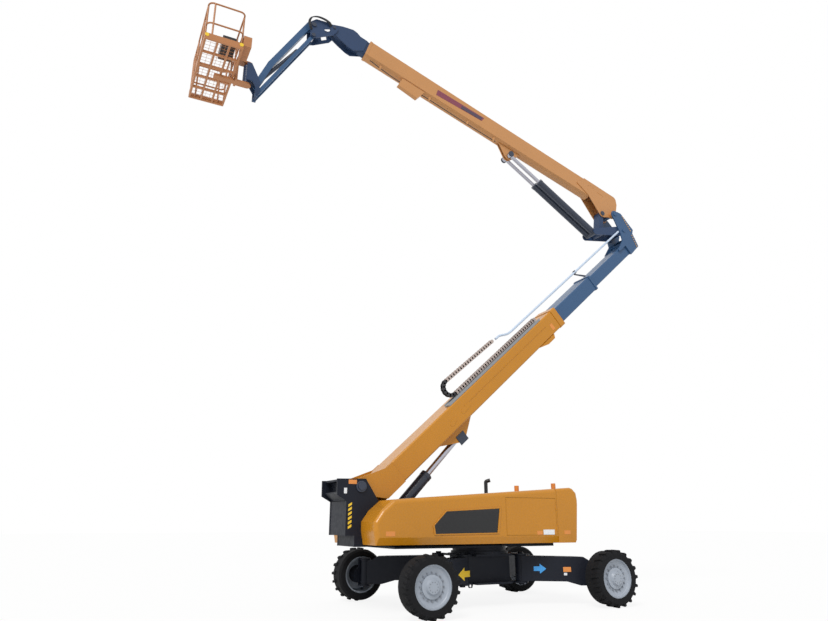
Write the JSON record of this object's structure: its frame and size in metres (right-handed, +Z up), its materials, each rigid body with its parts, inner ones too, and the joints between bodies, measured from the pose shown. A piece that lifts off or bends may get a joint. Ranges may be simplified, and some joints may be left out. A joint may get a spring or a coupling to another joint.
{
  "type": "articulating boom lift",
  "caption": "Large self-propelled articulating boom lift with telescopic tower, telescopic main boom, jib and railed work platform on four extending steered wheels.",
  "frame": {"origin": "on the ground under the slewing axis, midway between the four wheels", "axes": "+X towards the counterweight and elbow, +Y across the machine, +Z up"},
  "size_m": [12.9974, 3.955, 14.0859],
  "materials": {
    "chassis_grey": "semi-gloss dark charcoal paint",
    "orange": "semi-gloss orange-yellow paint",
    "blue": "semi-gloss slate-blue paint",
    "boom_tan": "semi-gloss tan-orange paint",
    "platform_brown": "satin brown-orange paint",
    "tyre": "dry matt rubber",
    "rim": "light grey enamel",
    "black": "satin black paint",
    "chrome": "polished cylinder rod",
    "steel": "plain galvanised steel",
    "amber": "translucent amber lens",
    "plastic": "matt black plastic"
  },
  "bodies": {
    "chassis": {"chassis_frame": "chassis_grey", "slew_bearing": "chassis_grey"},
    "swing_arm_front_far": {"swing_arm_front_far": "chassis_grey"},
    "knuckle_front_far": {"knuckle_front_far": "chassis_grey"},
    "wheel_front_far": {"rim_front_far": "rim", "tyre_front_far": "tyre"},
    "swing_arm_front_near": {"swing_arm_front_near": "chassis_grey"},
    "knuckle_front_near": {"knuckle_front_near": "chassis_grey"},
    "wheel_front_near": {"rim_front_near": "rim", "tyre_front_near": "tyre"},
    "swing_arm_rear_far": {"swing_arm_rear_far": "chassis_grey"},
    "knuckle_rear_far": {"knuckle_rear_far": "chassis_grey"},
    "wheel_rear_far": {"rim_rear_far": "rim", "tyre_rear_far": "tyre"},
    "swing_arm_rear_near": {"swing_arm_rear_near": "chassis_grey"},
    "knuckle_rear_near": {"knuckle_rear_near": "chassis_grey"},
    "wheel_rear_near": {"rim_rear_near": "rim", "tyre_rear_near": "tyre"},
    "turntable": {"turntable_frame": "chassis_grey", "hood_near": "orange", "hood_far": "orange", "tail_weight": "orange", "engine_block": "black", "front_box": "chassis_grey", "exhaust": "steel", "beacons": "amber"},
    "door_near": {"hood_door_near": "orange"},
    "door_far": {"hood_door_far": "orange"},
    "tower_base": {"tower_base": "orange", "cable_track": "steel"},
    "tower_mid": {"tower_mid": "blue"},
    "tower_head": {"tower_head": "blue", "cable_tube": "steel"},
    "tower_lift_barrel": {"tower_lift_barrel": "black"},
    "tower_lift_rod": {"tower_lift_rod": "chrome"},
    "main_boom": {"main_boom": "boom_tan"},
    "elbow_yoke": {"elbow_yoke": "chassis_grey"},
    "elbow_link": {"elbow_link": "blue"},
    "main_lift_rods": {"main_lift_rods": "chrome"},
    "main_lift_barrels": {"main_lift_barrels": "black"},
    "main_tip": {"main_tip": "blue"},
    "jib_mount": {"jib_mount": "chassis_grey"},
    "jib_arm": {"jib_arm": "blue"},
    "jib_link": {"jib_link": "chassis_grey"},
    "platform_bracket": {"platform_bracket": "blue"},
    "jib_barrel": {"jib_barrel": "black"},
    "jib_rod": {"jib_rod": "chrome"},
    "platform": {"basket_floor": "platform_brown", "basket_rails": "platform_brown", "control_console": "plastic", "tool_tray": "steel"},
    "basket_gate": {"basket_gate": "platform_brown"}
  },
  "joints": [
    {"name": "arm_swing_front_far", "type": "hinge", "parent": "chassis", "child": "swing_arm_front_far", "pos_m": [0.76, 0.52, 0.812], "axis": [0, 0, 1], "range_deg": [-27, 0]},
    {"name": "steer_front_far", "type": "hinge", "parent": "swing_arm_front_far", "child": "knuckle_front_far", "pos_m": [2.22, 1.325, 0.65], "axis": [0, 0, -1], "range_deg": [-32, 32]},
    {"name": "spin_front_far", "type": "hinge", "parent": "knuckle_front_far", "child": "wheel_front_far", "pos_m": [2.22, 1.755, 0.5775], "axis": [0, 1, 0], "continuous": true},
    {"name": "arm_swing_front_near", "type": "hinge", "parent": "chassis", "child": "swing_arm_front_near", "pos_m": [0.76, -0.52, 0.812], "axis": [0, 0, -1], "range_deg": [-27, 0]},
    {"name": "steer_front_near", "type": "hinge", "parent": "swing_arm_front_near", "child": "knuckle_front_near", "pos_m": [2.22, -1.325, 0.65], "axis": [0, 0, 1], "range_deg": [-32, 32]},
    {"name": "spin_front_near", "type": "hinge", "parent": "knuckle_front_near", "child": "wheel_front_near", "pos_m": [2.22, -1.755, 0.5775], "axis": [0, 1, 0], "continuous": true},
    {"name": "arm_swing_rear_far", "type": "hinge", "parent": "chassis", "child": "swing_arm_rear_far", "pos_m": [-0.76, 0.52, 0.812], "axis": [0, 0, -1], "range_deg": [-27, 0]},
    {"name": "steer_rear_far", "type": "hinge", "parent": "swing_arm_rear_far", "child": "knuckle_rear_far", "pos_m": [-2.22, 1.325, 0.65], "axis": [0, 0, 1], "range_deg": [-32, 32]},
    {"name": "spin_rear_far", "type": "hinge", "parent": "knuckle_rear_far", "child": "wheel_rear_far", "pos_m": [-2.22, 1.755, 0.5775], "axis": [0, 1, 0], "continuous": true},
    {"name": "arm_swing_rear_near", "type": "hinge", "parent": "chassis", "child": "swing_arm_rear_near", "pos_m": [-0.76, -0.52, 0.812], "axis": [0, 0, 1], "range_deg": [-27, 0]},
    {"name": "steer_rear_near", "type": "hinge", "parent": "swing_arm_rear_near", "child": "knuckle_rear_near", "pos_m": [-2.22, -1.325, 0.65], "axis": [0, 0, -1], "range_deg": [-32, 32]},
    {"name": "spin_rear_near", "type": "hinge", "parent": "knuckle_rear_near", "child": "wheel_rear_near", "pos_m": [-2.22, -1.755, 0.5775], "axis": [0, 1, 0], "continuous": true},
    {"name": "slew", "type": "hinge", "parent": "chassis", "child": "turntable", "pos_m": [0, 0, 1.16], "axis": [0, 0, 1], "continuous": true},
    {"name": "door_swing_near", "type": "hinge", "parent": "turntable", "child": "door_near", "pos_m": [1.29, -1.215, 1.8], "axis": [0, 0, 1], "range_deg": [0, 100]},
    {"name": "door_swing_far", "type": "hinge", "parent": "turntable", "child": "door_far", "pos_m": [1.29, 1.215, 1.8], "axis": [0, 0, -1], "range_deg": [0, 100]},
    {"name": "tower_lift", "type": "hinge", "parent": "turntable", "child": "tower_base", "pos_m": [-3.104, 0, 2.417], "axis": [0, -1, 0], "range_deg": [-41.8, 26.2]},
    {"name": "tower_extend", "type": "slide", "parent": "tower_base", "child": "tower_mid", "axis": [0.7455, 0, 0.6665], "range_m": [-1.5, 3.4]},
    {"name": "tower_extend_head", "type": "slide", "parent": "tower_mid", "child": "tower_head", "axis": [0.7455, 0, 0.6665], "range_m": [-1.5001, 3.4001]},
    {"name": "tower_barrel_swing", "type": "hinge", "parent": "turntable", "child": "tower_lift_barrel", "pos_m": [-2.6, 0, 1.4], "axis": [0, -1, 0], "range_deg": [-38.41, 24.07]},
    {"name": "tower_rod_slide", "type": "slide", "parent": "tower_lift_barrel", "child": "tower_lift_rod", "axis": [0.6884, 0, 0.7253], "range_m": [-0.75118, 0.47088]},
    {"name": "main_lift", "type": "hinge", "parent": "tower_head", "child": "main_boom", "pos_m": [4.91964, 0, 10.50448], "axis": [0, 1, 0], "range_deg": [-52, 70]},
    {"name": "yoke_swing", "type": "hinge", "parent": "tower_head", "child": "elbow_yoke", "pos_m": [5.21212, 0, 10.02283], "axis": [0, 1, 0], "range_deg": [-22.88, 30.8]},
    {"name": "link_swing", "type": "hinge", "parent": "elbow_yoke", "child": "elbow_link", "pos_m": [4.485, 0, 9.871], "axis": [0, 1, 0], "range_deg": [-19.6, 14.56]},
    {"name": "main_rod_swing", "type": "hinge", "parent": "main_boom", "child": "main_lift_rods", "pos_m": [1.33655, 0, 11.63646], "axis": [0, 1, 0], "range_deg": [-1.44, 1.07]},
    {"name": "main_barrel_slide", "type": "slide", "parent": "main_lift_rods", "child": "main_lift_barrels", "axis": [0.8426, 0, -0.5386], "range_m": [-0.5392, 0.72581]},
    {"name": "main_extend", "type": "slide", "parent": "main_boom", "child": "main_tip", "axis": [-0.9478, 0, 0.319], "range_m": [-0.05, 4.3]},
    {"name": "jib_level", "type": "hinge", "parent": "main_tip", "child": "jib_mount", "pos_m": [-4.03152, 0, 13.9136], "axis": [0, 1, 0], "range_deg": [-70, 52]},
    {"name": "jib_lift", "type": "hinge", "parent": "jib_mount", "child": "jib_arm", "pos_m": [-4.575, 0, 13.79], "axis": [0, 1, 0], "range_deg": [-12, 110]},
    {"name": "jib_link_swing", "type": "hinge", "parent": "jib_mount", "child": "jib_link", "pos_m": [-4.575, 0, 13.47], "axis": [0, 1, 0], "range_deg": [-12, 110]},
    {"name": "platform_level", "type": "hinge", "parent": "jib_arm", "child": "platform_bracket", "pos_m": [-5.854, 0, 11.6187], "axis": [0, 1, 0], "range_deg": [-110, 12]},
    {"name": "jib_barrel_swing", "type": "hinge", "parent": "jib_arm", "child": "jib_barrel", "pos_m": [-5.72558, 0, 11.85641], "axis": [0, 1, 0], "range_deg": [-0.23, 2.11]},
    {"name": "jib_rod_slide", "type": "slide", "parent": "jib_barrel", "child": "jib_rod", "axis": [0.5806, 0, 0.8142], "range_m": [-0.05679, 0.51973]},
    {"name": "platform_rotate", "type": "hinge", "parent": "platform_bracket", "child": "platform", "pos_m": [-6.08, 0, 11.85], "axis": [0, 0, 1], "range_deg": [-85, 85]},
    {"name": "gate_swing", "type": "hinge", "parent": "platform", "child": "basket_gate", "pos_m": [-7.22, 0.69, 12.1], "axis": [0, 0, 1], "range_deg": [0, 85]}
  ],
  "couplings": [
    {"joint": "tower_extend_head", "follows": "tower_extend", "ratio": 1},
    {"joint": "tower_barrel_swing", "follows": "tower_lift", "ratio": 0.91883},
    {"joint": "tower_rod_slide", "follows": "tower_lift", "m_per_rad": 1.0295},
    {"joint": "yoke_swing", "follows": "main_lift", "ratio": 0.44},
    {"joint": "link_swing", "follows": "main_lift", "ratio": -0.28},
    {"joint": "main_rod_swing", "follows": "main_lift", "ratio": -0.0206},
    {"joint": "main_barrel_slide", "follows": "main_lift", "m_per_rad": 0.594},
    {"joint": "jib_level", "follows": "main_lift", "ratio": -1},
    {"joint": "jib_link_swing", "follows": "jib_lift", "ratio": 1},
    {"joint": "platform_level", "follows": "jib_lift", "ratio": -1},
    {"joint": "jib_barrel_swing", "follows": "jib_lift", "ratio": 0.019199},
    {"joint": "jib_rod_slide", "follows": "jib_lift", "m_per_rad": 0.27066}
  ]
}
